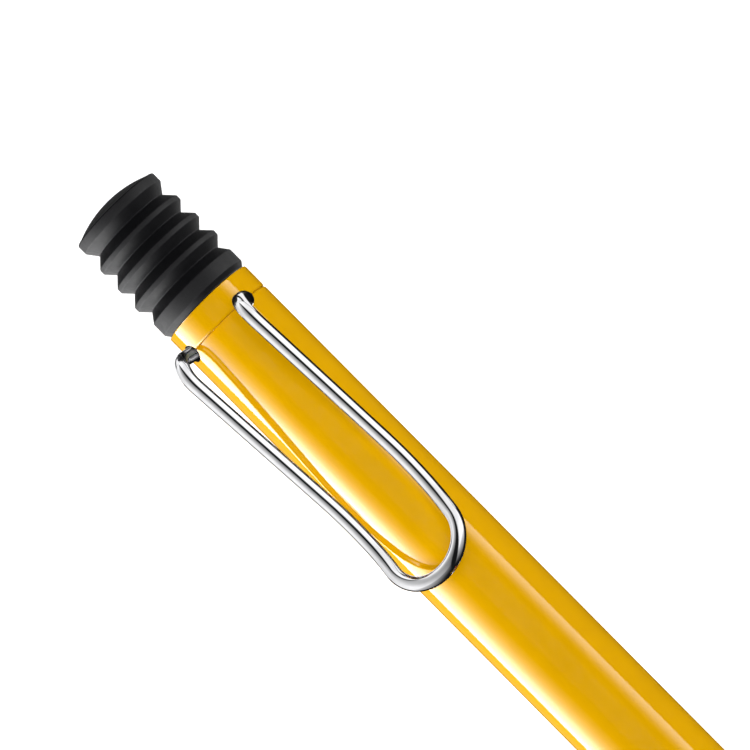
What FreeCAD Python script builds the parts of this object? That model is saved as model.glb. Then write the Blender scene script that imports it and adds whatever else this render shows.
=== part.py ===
"""A mechanical pencil with a push cap in the form of a rubber bellows and a wire pocket clip.

The pencil lies along X with its writing end at +X and its clip on the +Z side. Sizes are in
millimetres. Every piece is drawn about the X axis, with X counted from the rear end of the
collar, and its Placement then sets the whole pencil on the ground: the origin ends up under
the middle of its length, on the plane that the cap's widest fold rests on.
"""
import FreeCAD, Part
import math
import os
import re

import Sketcher
from FreeCAD import Placement, Rotation, Vector

SIZES = [
    # (alias, value, meaning)
    ("axis_height", 6.6, "pencil axis above the ground"),
    ("cap_length", 17.0, "top of the cap's dome behind the collar"),
    ("lead_end", 123.6, "tip of the lead"),
    ("body_radius", 6.25, "collar, barrel and front flange"),
    ("bore_radius", 5.2, "bore of the barrel"),
    ("edge", 0.18, "chamfer at the seams"),

    ("dome_rise", 1.25, "height of the dome"),
    ("dome_edge", 5.85, "radius at the edge of the dome"),
    ("rim_start", 15.3, "end of the dome's rounded edge"),
    ("rim_round", 0.45, "rounding at the dome's edge"),
    ("rim_end", 14.4, "front of the cap's rim band"),
    ("first_valley", 13.02, "first valley of the bellows"),
    ("first_ridge", 11.45, "first ridge of the bellows"),
    ("fold_pitch", 3.05, "distance between two folds"),
    ("valley_radius", 5.22, "radius in the first valley"),
    ("valley_growth", 0.09, "growth of the valleys, one to the next"),
    ("ridge_radius", 6.4, "radius on the first ridge"),
    ("ridge_growth", 0.1, "growth of the ridges, one to the next"),
    ("ridge_flat", 0.45, "width of a ridge's crest"),
    ("rubber_wall", 0.9, "wall of the bellows, measured outward"),
    ("base_start", 2.63, "rear of the cap's base ring"),
    ("base_radius", 6.4, "radius of the base ring"),
    ("base_chamfer", 0.78, "start of the chamfer at the base ring's foot"),
    ("foot_radius", 5.95, "radius at the base ring's foot"),
    ("foot_land", 0.2, "plain edge at the base ring's foot"),
    ("cap_gap", 0.1, "gap between the cap and the collar"),

    ("core_head", 4.1, "radius of the push core's head"),
    ("core_rise", 0.75, "height of the push core's domed top"),
    ("core_head_end", 14.4, "front of the push core's head"),
    ("core_gap", 0.1, "gap between the dome and the push core"),
    ("core_radius", 3.6, "radius of the push core's stem"),
    ("core_bore", 2.6, "bore over the eraser"),
    ("core_floor", 13.2, "floor of the push core's bore"),
    ("core_skirt", 1.2, "front end of the push core's skirt"),
    ("skirt_bore", 3.1, "bore of the push core's skirt"),
    ("ring_rear", 2.9, "rear end of the cap ring"),
    ("ring_radius", 5.0, "outside of the cap ring"),
    ("ring_bore", 3.7, "bore of the cap ring"),
    ("plug_radius", 4.45, "cap ring's plug in the collar"),
    ("plug_end", 1.8, "front end of the cap ring's plug"),

    ("collar_length", 3.35, "visible length of the collar"),
    ("collar_bore", 4.5, "bore of the collar"),
    ("stub_radius", 5.15, "collar's and front section's stub in the barrel"),
    ("stub_end", 8.0, "front end of the collar's stub"),
    ("retainer_start", 4.4, "rear end of the clip retainer"),
    ("retainer_end", 7.5, "front end of the clip retainer"),
    ("retainer_bore", 3.3, "bore of the clip retainer"),

    ("barrel_end", 84.0, "front end of the barrel"),
    ("bush_start", 18.0, "rear end of the guide bush"),
    ("bush_length", 3.0, "length of the guide bush"),
    ("bush_bore", 2.16, "running bore of the guide bush"),
    ("recess_radius", 5.72, "floor of the recess under the clip"),
    ("recess_rear", 3.0, "half width of the recess at the collar"),
    ("recess_widest", 4.3, "half width of the recess where it is widest"),
    ("recess_widest_at", 30.0, "place of the widest section"),
    ("recess_end", 42.2, "front end of the recess"),

    ("wire_radius", 0.93, "clip wire"),
    ("clip_hole_long", 1.2, "half length of the clip holes along the pencil"),
    ("clip_hole_wide", 1.02, "half width of the clip holes"),
    ("clip_hole_floor", 1.2, "floor of the clip holes above the axis"),
    ("foot_height", 2.2, "clip feet above the axis"),
    ("foot_inner", 3.0, "inner ends of the clip feet"),
    ("foot_outer", 4.3, "half width where foot and leg would meet"),
    ("foot_bend", 1.2, "bend between foot and leg"),
    ("foot_slot_top", 3.4, "top of the slots for the feet"),
    ("clip_top", 10.95, "height where leg and arm of the clip would meet"),
    ("clip_top_side", 5.5, "half width of the clip there"),
    ("clip_top_bend", 3.0, "bend between leg and arm"),
    ("clip_low_at", 30.3, "place where the arm turns up"),
    ("clip_low", 5.15, "height where the arm turns up"),
    ("clip_low_side", 5.24, "half width of the clip there"),
    ("clip_low_bend", 20.0, "bend where the arm turns up"),
    ("clip_kick_at", 36.58, "place of the second upward bend"),
    ("clip_kick", 6.03, "height of the second upward bend"),
    ("clip_kick_bend", 14.0, "second upward bend"),
    ("clip_loop", 5.14, "radius of the round loop end"),
    ("clip_loop_at", 38.76, "start of the loop end"),
    ("clip_loop_height", 7.19, "height at the start of the loop end"),
    ("clip_loop_rise", 28.0, "slope of the loop end in degrees"),

    ("o_ring_at", 77.55, "middle of the O-ring"),
    ("o_ring_radius", 4.72, "O-ring, middle of its cord"),
    ("o_ring_cord", 0.42, "radius of the O-ring's cord"),
    ("groove_width", 1.1, "width of the O-ring groove"),
    ("groove_radius", 4.25, "floor of the O-ring groove"),
    ("front_rear", 76.0, "rear end of the front section's stub"),
    ("front_gap", 0.05, "gap between the barrel and the front section"),
    ("front_bore", 3.1, "bore of the front section"),
    ("grip_start", 86.5, "rear end of the grip sleeve"),
    ("grip_end", 105.5, "front end of the grip sleeve"),
    ("grip_seat", 4.9, "seat of the grip sleeve"),
    ("grip_radius", 6.2, "grip sleeve at its rear end"),
    ("grip_taper", 0.35, "grip sleeve's loss of radius to its front end"),
    ("grip_waist", 0.45, "depth of the grip sleeve's waist"),
    ("rib_depth", 0.3, "depth of the grip sleeve's grooves"),
    ("nose_radius", 5.6, "front section in front of the grip sleeve"),
    ("nose_end", 110.5, "front end of the front section"),
    ("nose_end_radius", 3.6, "radius where the tip cone starts"),

    ("cone_rear", 107.5, "rear end of the tip cone's stub"),
    ("cone_stub", 3.05, "radius of the tip cone's stub"),
    ("cone_end", 119.5, "front end of the tip cone"),
    ("cone_end_radius", 1.1, "radius of the tip cone's front end"),
    ("ring_cavity", 1.9, "bore around the clutch ring"),
    ("ring_stop", 109.9, "shoulder that stops the clutch ring"),
    ("jaw_cavity", 1.5, "bore around the opening jaws"),
    ("jaw_cavity_end", 114.2, "front end of that bore"),
    ("lead_seat", 1.2, "seat of the lead retainer"),
    ("lead_seat_rear", 114.6, "rear end of the lead retainer"),
    ("lead_seat_end", 116.6, "front end of the lead retainer"),
    ("retainer_hole", 0.26, "hole of the lead retainer"),
    ("sleeve_end", 123.0, "front end of the lead sleeve"),
    ("sleeve_radius", 0.5, "outside of the lead sleeve"),
    ("sleeve_stub", 0.75, "lead sleeve's stub in the tip cone"),
    ("sleeve_bore", 0.3, "bore of the lead sleeve"),

    ("tank_rear", 1.0, "rear end of the lead tank behind the collar"),
    ("tank_end", 93.0, "front end of the lead tank"),
    ("tank_radius", 2.1, "outside of the lead tank"),
    ("tank_bore", 1.8, "bore of the lead tank"),
    ("holder_rear", 7.5, "rear end of the eraser holder"),
    ("holder_radius", 3.0, "eraser holder in the push core's skirt"),
    ("holder_floor", 1.6, "floor of the eraser holder's cup"),
    ("holder_neck", 2.6, "eraser holder's socket on the tank"),
    ("holder_end", 3.5, "front end of the socket"),
    ("socket_bore", 2.13, "bore of the socket over the tank"),
    ("eraser_radius", 2.2, "eraser"),
    ("eraser_rear", 12.5, "free end of the eraser"),
    ("eraser_edge", 0.3, "worn edge of the eraser"),
    ("needle_radius", 0.2, "cleaning needle"),
    ("needle_rear", 4.0, "end of the cleaning needle in the eraser"),
    ("needle_end", 14.0, "free end of the cleaning needle"),
    ("needle_hole", 0.3, "hole for the needle in the holder's floor"),

    ("connector_rear", 89.0, "rear end of the tank connector"),
    ("flange_end", 94.2, "front face of the connector's flange"),
    ("flange_radius", 2.3, "connector's flange, the seat of the spring"),
    ("connector_end", 97.0, "front end of the tank connector"),
    ("connector_neck", 1.65, "connector inside the spring"),
    ("connector_hole", 0.4, "lead hole of the connector"),
    ("chuck_rear", 93.5, "rear end of the chuck"),
    ("chuck_stub", 1.2, "chuck's stub in the connector"),
    ("chuck_stem", 0.95, "stem of the chuck"),
    ("chuck_slit_rear", 99.0, "rear end of the slits between the jaws"),
    ("chuck_cone_start", 105.5, "rear end of the chuck's head"),
    ("chuck_head_start", 106.8, "rear end of the cylindrical part of the head"),
    ("chuck_head", 1.3, "radius of the chuck's head"),
    ("chuck_head_end", 109.2, "front end of the cylindrical part"),
    ("chuck_end", 110.0, "front end of the chuck"),
    ("chuck_nose", 0.8, "radius of the chuck's front end"),
    ("chuck_bore", 0.27, "lead bore of the chuck"),
    ("slit_width", 0.24, "width of the slits between the jaws"),
    ("clutch_rear", 98.0, "rear end of the clutch sleeve"),
    ("clutch_end", 107.4, "front end of the clutch sleeve"),
    ("clutch_shoulder", 103.5, "spring seat in the clutch sleeve"),
    ("spring_bore", 2.4, "clutch sleeve around the spring"),
    ("clutch_bore", 1.35, "clutch sleeve around the chuck"),
    ("clutch_ring_rear", 107.6, "rear end of the clutch ring"),
    ("clutch_ring_end", 109.1, "front end of the clutch ring"),
    ("clutch_ring_radius", 1.75, "outside of the clutch ring"),
    ("clutch_ring_bore", 1.32, "bore of the clutch ring"),
    ("spring_radius", 2.0, "return spring, middle of its wire"),
    ("spring_wire", 0.2, "radius of the return spring's wire"),
    ("spring_turns", 7.0, "turns of the return spring"),

    ("lead_radius", 0.25, "lead"),
    ("lead_length", 60.0, "length of a lead"),
    ("spare_start", 24.0, "rear end of the spare leads"),
    ("spare_offset", 1.1, "spare leads beside the axis"),
]

SHEET = "Sizes"
FOLDS = 3
GRIP_RIBS = 6
JAWS = 3
SPARE_LEADS = 3

doc = FreeCAD.newDocument("MechanicalPencil")
sheet = doc.addObject("Spreadsheet::Sheet", SHEET)
for row, (alias, value, meaning) in enumerate(SIZES, start=1):
    sheet.set("A%d" % row, meaning)
    sheet.set("B%d" % row, str(value))
    sheet.setAlias("B%d" % row, alias)
doc.recompute()

FUNCTIONS = ("abs",)


def bound(text):
    """The text of an expression, with each alias in it looked up in the sheet."""
    def looked_up(word):
        return word.group(0) if word.group(0) in FUNCTIONS else SHEET + "." + word.group(0)

    return re.sub(r"[a-z]\w*", looked_up, text)


def number(text):
    """The present value of an expression, for the first drawing of a sketch."""
    return float(sheet.evalExpression(bound(text)))


def place(piece, label):
    """Names a finished piece and sets it on the ground with the rest of the pencil."""
    piece.Label = label
    piece.setExpression("Placement.Base.x", bound("(cap_length - lead_end) / 2"))
    piece.setExpression("Placement.Base.z", bound("axis_height"))
    return piece


def origin_plane(body, role):
    return next(feature for feature in body.Origin.OriginFeatures if feature.Role == role)


def new_sketch(body, name, role):
    sketch = body.newObject("Sketcher::SketchObject", name)
    sketch.AttachmentSupport = (origin_plane(body, role), "")
    sketch.MapMode = "FlatFace"
    return sketch


def arc_between(start, end, radius):
    """An arc of less than half a turn; a positive radius bulges to the left of start-end."""
    chord = end - start
    middle = (start + end) * 0.5
    left = Vector(-chord.y, chord.x, 0).normalize()
    side = math.copysign(1.0, radius)
    height = math.sqrt(radius ** 2 - (chord.Length / 2) ** 2)
    centre = middle - left * side * height
    first, last = (end, start) if side > 0 else (start, end)
    first_angle = math.atan2(first.y - centre.y, first.x - centre.x)
    last_angle = math.atan2(last.y - centre.y, last.x - centre.x)
    circle = Part.Circle(centre, Vector(0, 0, 1), abs(radius))
    return Part.ArcOfCircle(circle, first_angle, last_angle), side > 0


def draw_outline(sketch, outline):
    """Draws a closed outline whose corners, and arc radii, are bound to the sheet.

    Each corner is (x, y), or (x, y, radius) where the side to the next corner is an arc.
    """
    corners = [Vector(number(corner[0]), number(corner[1]), 0) for corner in outline]
    ends = []
    for index, corner in enumerate(outline):
        start = corners[index]
        end = corners[(index + 1) % len(corners)]
        if len(corner) == 2:
            side = sketch.addGeometry(Part.LineSegment(start, end), False)
            ends.append((side, 1, 2))
        else:
            arc, turned = arc_between(start, end, number(corner[2]))
            side = sketch.addGeometry(arc, False)
            ends.append((side, 2, 1) if turned else (side, 1, 2))
            limit = sketch.addConstraint(Sketcher.Constraint("Radius", side, abs(number(corner[2]))))
            sketch.setExpression("Constraints[%d]" % limit, bound("abs(%s)" % corner[2]))
    for index, corner in enumerate(outline):
        side, first, last = ends[index]
        next_side, next_first, next_last = ends[(index + 1) % len(ends)]
        sketch.addConstraint(Sketcher.Constraint("Coincident", side, last, next_side, next_first))
        for kind, text, value in (
            ("DistanceX", corner[0], corners[index].x),
            ("DistanceY", corner[1], corners[index].y),
        ):
            limit = sketch.addConstraint(Sketcher.Constraint(kind, -1, 1, side, first, value))
            sketch.setExpression("Constraints[%d]" % limit, bound(text))


def turned(name, outline):
    """A body turned about the pencil's axis from its half section."""
    body = doc.addObject("PartDesign::Body", name)
    sketch = new_sketch(body, name + "_section", "XZ_Plane")
    draw_outline(sketch, outline)
    revolution = body.newObject("PartDesign::Revolution", name + "_turning")
    revolution.Profile = sketch
    revolution.ReferenceAxis = (sketch, ["H_Axis"])
    revolution.Angle = 360
    sketch.Visibility = False
    return body


def ring(name, rear, front, inner, outer):
    """A plain ring, tube or bush."""
    return turned(name, [(rear, inner), (rear, outer), (front, outer), (front, inner)])


def sphere_over(edge, rise):
    """The radius of a ball whose cap has this edge radius and this height."""
    return "((%s) ^ 2 + (%s) ^ 2) / (2 * (%s))" % (edge, rise, rise)


def make_bellows():
    outline = [
        ("-cap_length", "0", sphere_over("dome_edge", "dome_rise")),
        ("-cap_length + dome_rise", "dome_edge", "rim_round"),
        ("-rim_start", "body_radius"),
        ("-rim_end", "body_radius"),
    ]
    for fold in range(FOLDS):
        valley = "-first_valley + %d * fold_pitch" % fold
        ridge = "-first_ridge + %d * fold_pitch" % fold
        crest = "ridge_radius + %d * ridge_growth" % fold
        outline.append((valley, "valley_radius + %d * valley_growth" % fold))
        outline.append((ridge + " - ridge_flat / 2", crest))
        outline.append((ridge + " + ridge_flat / 2", crest))
    last_valley = "-first_valley + %d * fold_pitch" % FOLDS
    last_root = "valley_radius + %d * valley_growth" % FOLDS
    outline += [
        (last_valley, last_root),
        ("-base_start", "base_radius"),
        ("-base_chamfer", "base_radius"),
        ("-foot_land", "foot_radius"),
        ("-cap_gap", "foot_radius"),
        ("-cap_gap", "ring_radius"),
        ("-ring_rear", "ring_radius"),
        (last_valley, last_root + " - rubber_wall"),
    ]
    for fold in reversed(range(FOLDS)):
        outline.append((
            "-first_ridge + %d * fold_pitch" % fold,
            "ridge_radius + %d * ridge_growth - rubber_wall" % fold,
        ))
        outline.append((
            "-first_valley + %d * fold_pitch" % fold,
            "valley_radius + %d * valley_growth - rubber_wall" % fold,
        ))
    outline += [
        ("-rim_end", "body_radius - rubber_wall"),
        (
            "-cap_length + rubber_wall + dome_rise",
            "body_radius - rubber_wall",
            "-" + sphere_over("body_radius - rubber_wall", "dome_rise"),
        ),
        ("-cap_length + rubber_wall", "0"),
    ]
    return place(turned("Bellows", outline), "bellows")


def make_button_core():
    outline = [
        ("-cap_length + rubber_wall + core_gap", "0", sphere_over("core_head", "core_rise")),
        ("-cap_length + rubber_wall + core_gap + core_rise", "core_head"),
        ("-core_head_end", "core_head"),
        ("-core_head_end", "core_radius"),
        ("-core_skirt", "core_radius"),
        ("-core_skirt", "skirt_bore"),
        ("-holder_rear", "skirt_bore"),
        ("-holder_rear", "core_bore"),
        ("-core_floor", "core_bore"),
        ("-core_floor", "0"),
    ]
    return place(turned("ButtonCore", outline), "button_core")


def make_cap_ring():
    outline = [
        ("-ring_rear", "ring_bore"),
        ("-ring_rear", "ring_radius"),
        ("-cap_gap", "ring_radius"),
        ("-cap_gap", "plug_radius"),
        ("plug_end", "plug_radius"),
        ("plug_end", "ring_bore"),
    ]
    return place(turned("CapRing", outline), "cap_ring")


def clip_hole_cutters(suffix):
    """The two clip holes on the seam, leaning as the legs do, and the slots for the feet."""
    lean = "(clip_top_side - foot_outer) / (clip_top - foot_height)"
    foot = "(foot_outer - (foot_height - clip_hole_floor) * %s)" % lean
    cutters = []
    for side, sign in (("Left", 1), ("Right", -1)):
        mouth = doc.addObject("Part::Ellipse", "ClipHoleMouth" + side + suffix)
        mouth.setExpression("MajorRadius", bound("clip_hole_long"))
        mouth.setExpression("MinorRadius", bound("clip_hole_wide"))
        mouth.setExpression("Placement.Base.x", bound("collar_length"))
        mouth.setExpression("Placement.Base.y", bound("%d * %s" % (sign, foot)))
        mouth.setExpression("Placement.Base.z", bound("clip_hole_floor"))
        hole = doc.addObject("Part::Extrusion", "ClipHole" + side + suffix)
        hole.Base = mouth
        hole.DirMode = "Custom"
        hole.Dir = Vector(0, sign * number(lean), 1)
        hole.setExpression("LengthFwd", bound("body_radius"))
        hole.Solid = True
        slot = doc.addObject("Part::Box", "FootSlot" + side + suffix)
        slot.setExpression("Length", bound("2 * clip_hole_long"))
        slot.setExpression("Width", bound("foot_outer - foot_inner + 0.2"))
        slot.setExpression("Height", bound("foot_slot_top - clip_hole_floor"))
        slot.setExpression("Placement.Base.x", bound("collar_length - clip_hole_long"))
        inner = "foot_inner - 0.2" if sign > 0 else "-foot_outer"
        slot.setExpression("Placement.Base.y", bound(inner))
        slot.setExpression("Placement.Base.z", bound("clip_hole_floor"))
        cutters += [hole, slot]
    joined = doc.addObject("Part::MultiFuse", "ClipHoles" + suffix)
    joined.Shapes = cutters
    return joined


def cut(name, base, tool):
    result = doc.addObject("Part::Cut", name)
    result.Base = base
    result.Tool = tool
    return result


def make_collar():
    blank = turned("CollarBlank", [
        ("0", "collar_bore"),
        ("0", "body_radius - edge"),
        ("edge", "body_radius"),
        ("collar_length - edge", "body_radius"),
        ("collar_length", "body_radius - edge"),
        ("collar_length", "stub_radius"),
        ("stub_end", "stub_radius"),
        ("stub_end", "collar_bore"),
    ])
    return place(cut("Collar", blank, clip_hole_cutters("InCollar")), "collar")


def make_recess_cutter():
    """A lens-shaped cutter that leaves a round floor under the clip."""
    plan = doc.addObject("Sketcher::SketchObject", "RecessPlan")
    draw_outline(plan, [
        ("collar_length - 1", "recess_rear"),
        ("recess_widest_at - 8", "recess_widest - 0.35", "40"),
        ("recess_widest_at + 6", "recess_widest - 0.25", "11"),
        ("recess_end - 1", "recess_rear / 2", "2"),
        ("recess_end - 1", "-recess_rear / 2", "11"),
        ("recess_widest_at + 6", "0.25 - recess_widest", "40"),
        ("recess_widest_at - 8", "0.35 - recess_widest"),
        ("collar_length - 1", "-recess_rear"),
    ])
    plan.setExpression("Placement.Base.z", bound("body_radius / 2"))
    prism = doc.addObject("Part::Extrusion", "RecessPrism")
    prism.Base = plan
    prism.DirMode = "Custom"
    prism.Dir = Vector(0, 0, 1)
    prism.setExpression("LengthFwd", bound("body_radius"))
    prism.Solid = True
    floor = doc.addObject("Part::Cylinder", "RecessFloor")
    floor.setExpression("Radius", bound("recess_radius"))
    floor.setExpression("Height", bound("barrel_end"))
    floor.Placement = Placement(Vector(0, 0, 0), Rotation(Vector(0, 1, 0), 90))
    return cut("RecessCutter", prism, floor)


def make_barrel():
    blank = turned("BarrelBlank", [
        ("collar_length", "bore_radius"),
        ("collar_length", "body_radius - edge"),
        ("collar_length + edge", "body_radius"),
        ("barrel_end - edge", "body_radius"),
        ("barrel_end", "body_radius - edge"),
        ("barrel_end", "bore_radius"),
    ])
    recessed = cut("BarrelRecessed", blank, make_recess_cutter())
    return place(cut("Barrel", recessed, clip_hole_cutters("InBarrel")), "barrel")


def rounded_path(points, bends):
    """Straight runs through the points, joined by tangent arcs of the given radii."""
    edges = []
    start = points[0]
    for index in range(1, len(points) - 1):
        corner = points[index]
        incoming = (corner - points[index - 1]).normalize()
        outgoing = (points[index + 1] - corner).normalize()
        turn = incoming.getAngle(outgoing)
        reach = bends[index - 1] * math.tan(turn / 2)
        arc_start = corner - incoming * reach
        arc_end = corner + outgoing * reach
        inward = (outgoing - incoming).normalize()
        depth = bends[index - 1] * (1 / math.cos(turn / 2) - 1)
        edges.append(Part.LineSegment(start, arc_start).toShape())
        edges.append(Part.Arc(arc_start, corner + inward * depth, arc_end).toShape())
        start = arc_end
    if (points[-1] - start).Length > 1e-6:
        edges.append(Part.LineSegment(start, points[-1]).toShape())
    return edges


def make_clip():
    """One wire: foot, leg, arm, round loop end, and back on the other side."""
    def side_points(sign):
        return [
            Vector(number("collar_length"), sign * number("foot_inner"), number("foot_height")),
            Vector(number("collar_length"), sign * number("foot_outer"), number("foot_height")),
            Vector(number("collar_length"), sign * number("clip_top_side"), number("clip_top")),
            Vector(number("clip_low_at"), sign * number("clip_low_side"), number("clip_low")),
            Vector(number("clip_kick_at"), sign * number("clip_loop"), number("clip_kick")),
            Vector(number("clip_loop_at"), sign * number("clip_loop"), number("clip_loop_height")),
        ]

    bends = [number(text) for text in (
        "foot_bend", "clip_top_bend", "clip_low_bend", "clip_kick_bend")]
    rise = math.radians(number("clip_loop_rise"))
    near = rounded_path(side_points(1), bends)
    far = rounded_path(side_points(-1), bends)
    loop_start = side_points(1)[-1]
    loop_end = side_points(-1)[-1]
    outward = Vector(math.cos(rise), 0, math.sin(rise)) * number("clip_loop")
    loop = Part.Arc(loop_start, (loop_start + loop_end) * 0.5 + outward, loop_end).toShape()
    path = doc.addObject("Part::Feature", "ClipPath")
    path.Shape = Part.Wire(near + [loop] + far[::-1])

    section = doc.addObject("Part::Circle", "ClipSection")
    section.setExpression("Radius", bound("wire_radius"))
    section.Placement = Placement(side_points(1)[0], Rotation(Vector(1, 0, 0), 90))
    sweep = doc.addObject("Part::Sweep", "PocketClip")
    sweep.Sections = [section]
    sweep.Spine = (path, [])
    sweep.Solid = True
    sweep.Frenet = False
    sweep.Transition = "Transformed"
    return place(sweep, "pocket_clip")


def make_o_ring():
    torus = doc.addObject("Part::Torus", "ORing")
    torus.setExpression("Radius1", bound("o_ring_radius"))
    torus.setExpression("Radius2", bound("o_ring_cord"))
    torus.Placement = Placement(Vector(0, 0, 0), Rotation(Vector(0, 1, 0), 90))
    place(torus, "o_ring")
    torus.setExpression("Placement.Base.x", bound("o_ring_at + (cap_length - lead_end) / 2"))
    return torus


def make_front_section():
    outline = [
        ("front_rear", "front_bore"),
        ("front_rear", "stub_radius - edge"),
        ("front_rear + edge", "stub_radius"),
        ("o_ring_at - groove_width / 2", "stub_radius"),
        ("o_ring_at - groove_width / 2", "groove_radius"),
        ("o_ring_at + groove_width / 2", "groove_radius"),
        ("o_ring_at + groove_width / 2", "stub_radius"),
        ("barrel_end + front_gap", "stub_radius"),
        ("barrel_end + front_gap", "body_radius - edge"),
        ("barrel_end + front_gap + edge", "body_radius"),
        ("grip_start", "body_radius"),
        ("grip_start", "grip_seat"),
        ("grip_end", "grip_seat"),
        ("grip_end", "nose_radius", "20"),
        ("nose_end", "nose_end_radius"),
        ("nose_end", "front_bore"),
    ]
    return place(turned("FrontSection", outline), "front_section")


def make_grip_sleeve():
    outline = [("grip_start", "grip_seat")]
    for rib in range(GRIP_RIBS):
        crest = []
        for along in (rib / GRIP_RIBS, (rib + 0.75) / GRIP_RIBS):
            where = "grip_start + %.4f * (grip_end - grip_start)" % along
            waist = 4 * along * (1 - along)
            radius = "grip_radius - %.4f * grip_taper - %.4f * grip_waist" % (along, waist)
            crest.append((where, radius))
        root = crest[1][1] + " - rib_depth"
        groove = "grip_start + %.4f * (grip_end - grip_start)" % ((rib + 0.85) / GRIP_RIBS)
        outline += crest + [(groove, root)]
    outline += [
        ("grip_end", "grip_radius - grip_taper"),
        ("grip_end", "grip_seat"),
    ]
    return place(turned("GripSleeve", outline), "grip_sleeve")


def make_tip_cone():
    outline = [
        ("cone_rear", "ring_cavity"),
        ("cone_rear", "cone_stub"),
        ("nose_end", "cone_stub"),
        ("nose_end", "nose_end_radius"),
        ("cone_end", "cone_end_radius"),
        ("cone_end", "sleeve_stub"),
        ("lead_seat_end", "sleeve_stub"),
        ("lead_seat_end", "lead_seat"),
        ("jaw_cavity_end", "lead_seat"),
        ("jaw_cavity_end", "jaw_cavity"),
        ("ring_stop", "jaw_cavity"),
        ("ring_stop", "ring_cavity"),
    ]
    return place(turned("TipCone", outline), "tip_cone")


def make_lead_sleeve():
    outline = [
        ("lead_seat_end", "sleeve_bore"),
        ("lead_seat_end", "sleeve_stub"),
        ("cone_end", "sleeve_stub"),
        ("cone_end", "sleeve_radius"),
        ("sleeve_end", "sleeve_radius"),
        ("sleeve_end", "sleeve_bore"),
    ]
    return place(turned("LeadSleeve", outline), "lead_sleeve")


def make_clutch_sleeve():
    outline = [
        ("clutch_rear", "spring_bore"),
        ("clutch_rear", "front_bore"),
        ("clutch_end", "front_bore"),
        ("clutch_end", "clutch_bore"),
        ("clutch_shoulder", "clutch_bore"),
        ("clutch_shoulder", "spring_bore"),
    ]
    return place(turned("ClutchSleeve", outline), "clutch_sleeve")


def make_chuck():
    """A collet: the front of a turned blank is slit into jaws."""
    body = turned("Chuck", [
        ("chuck_rear", "chuck_bore"),
        ("chuck_rear", "chuck_stub"),
        ("connector_end", "chuck_stub"),
        ("connector_end", "chuck_stem"),
        ("chuck_cone_start", "chuck_stem"),
        ("chuck_head_start", "chuck_head"),
        ("chuck_head_end", "chuck_head"),
        ("chuck_end", "chuck_nose"),
        ("chuck_end", "chuck_bore"),
    ])
    doc.recompute()
    sketch = new_sketch(body, "SlitPlan", "XY_Plane")
    draw_outline(sketch, [
        ("chuck_slit_rear", "-slit_width / 2"),
        ("chuck_end + slit_width", "-slit_width / 2"),
        ("chuck_end + slit_width", "slit_width / 2"),
        ("chuck_slit_rear", "slit_width / 2"),
    ])
    slit = body.newObject("PartDesign::Pocket", "Slit")
    slit.Profile = sketch
    slit.Type = "Length"
    slit.setExpression("Length", bound("2 * chuck_head"))
    slit.Reversed = True
    doc.recompute()
    pattern = body.newObject("PartDesign::PolarPattern", "Slits")
    pattern.Originals = [slit]
    pattern.Axis = (sketch, ["H_Axis"])
    pattern.Angle = 360
    pattern.Occurrences = JAWS
    body.Tip = pattern
    return place(body, "chuck")


def make_tank_connector():
    outline = [
        ("connector_rear", "connector_hole"),
        ("connector_rear", "tank_bore"),
        ("tank_end", "tank_bore"),
        ("tank_end", "flange_radius"),
        ("flange_end", "flange_radius"),
        ("flange_end", "connector_neck"),
        ("connector_end", "connector_neck"),
        ("connector_end", "chuck_stub"),
        ("chuck_rear", "chuck_stub"),
        ("chuck_rear", "connector_hole"),
    ]
    return place(turned("TankConnector", outline), "tank_connector")


def make_return_spring():
    body = doc.addObject("PartDesign::Body", "ReturnSpring")
    sketch = new_sketch(body, "SpringWire", "XZ_Plane")
    wire = sketch.addGeometry(
        Part.Circle(
            Vector(number("flange_end + spring_wire"), number("spring_radius"), 0),
            Vector(0, 0, 1),
            number("spring_wire"),
        ),
        False,
    )
    for kind, text in (("DistanceX", "flange_end + spring_wire"), ("DistanceY", "spring_radius")):
        limit = sketch.addConstraint(Sketcher.Constraint(kind, -1, 1, wire, 3, number(text)))
        sketch.setExpression("Constraints[%d]" % limit, bound(text))
    limit = sketch.addConstraint(Sketcher.Constraint("Radius", wire, number("spring_wire")))
    sketch.setExpression("Constraints[%d]" % limit, bound("spring_wire"))
    coil = body.newObject("PartDesign::AdditiveHelix", "SpringCoil")
    coil.Profile = sketch
    coil.ReferenceAxis = (sketch, ["H_Axis"])
    coil.Mode = "height-turns-angle"
    coil.setExpression("Height", bound("clutch_shoulder - flange_end - 2 * spring_wire"))
    coil.setExpression("Turns", bound("spring_turns"))
    sketch.Visibility = False
    return place(body, "return_spring")


def make_eraser_holder():
    outline = [
        ("-holder_rear", "eraser_radius"),
        ("-holder_rear", "holder_radius"),
        ("-holder_floor", "holder_radius"),
        ("-holder_floor", "holder_neck"),
        ("holder_end", "holder_neck"),
        ("holder_end", "socket_bore"),
        ("-tank_rear", "socket_bore"),
        ("-tank_rear", "needle_hole"),
        ("-holder_floor", "needle_hole"),
        ("-holder_floor", "eraser_radius"),
    ]
    return place(turned("EraserHolder", outline), "eraser_holder")


def make_eraser():
    outline = [
        ("-eraser_rear", "0"),
        ("-eraser_rear", "eraser_radius - eraser_edge"),
        ("-eraser_rear + eraser_edge", "eraser_radius"),
        ("-holder_floor", "eraser_radius"),
        ("-holder_floor", "needle_radius"),
        ("-needle_rear", "needle_radius"),
        ("-needle_rear", "0"),
    ]
    return place(turned("Eraser", outline), "eraser")


def make_rod(name, label, rear, front, radius, point):
    """A thin rod on the axis with a small chamfer at its front end."""
    outline = [
        (rear, "0"),
        (rear, radius),
        ("%s - %s" % (front, point), radius),
        (front, "%s - %s" % (radius, point)),
        (front, "0"),
    ]
    return place(turned(name, outline), label)


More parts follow.
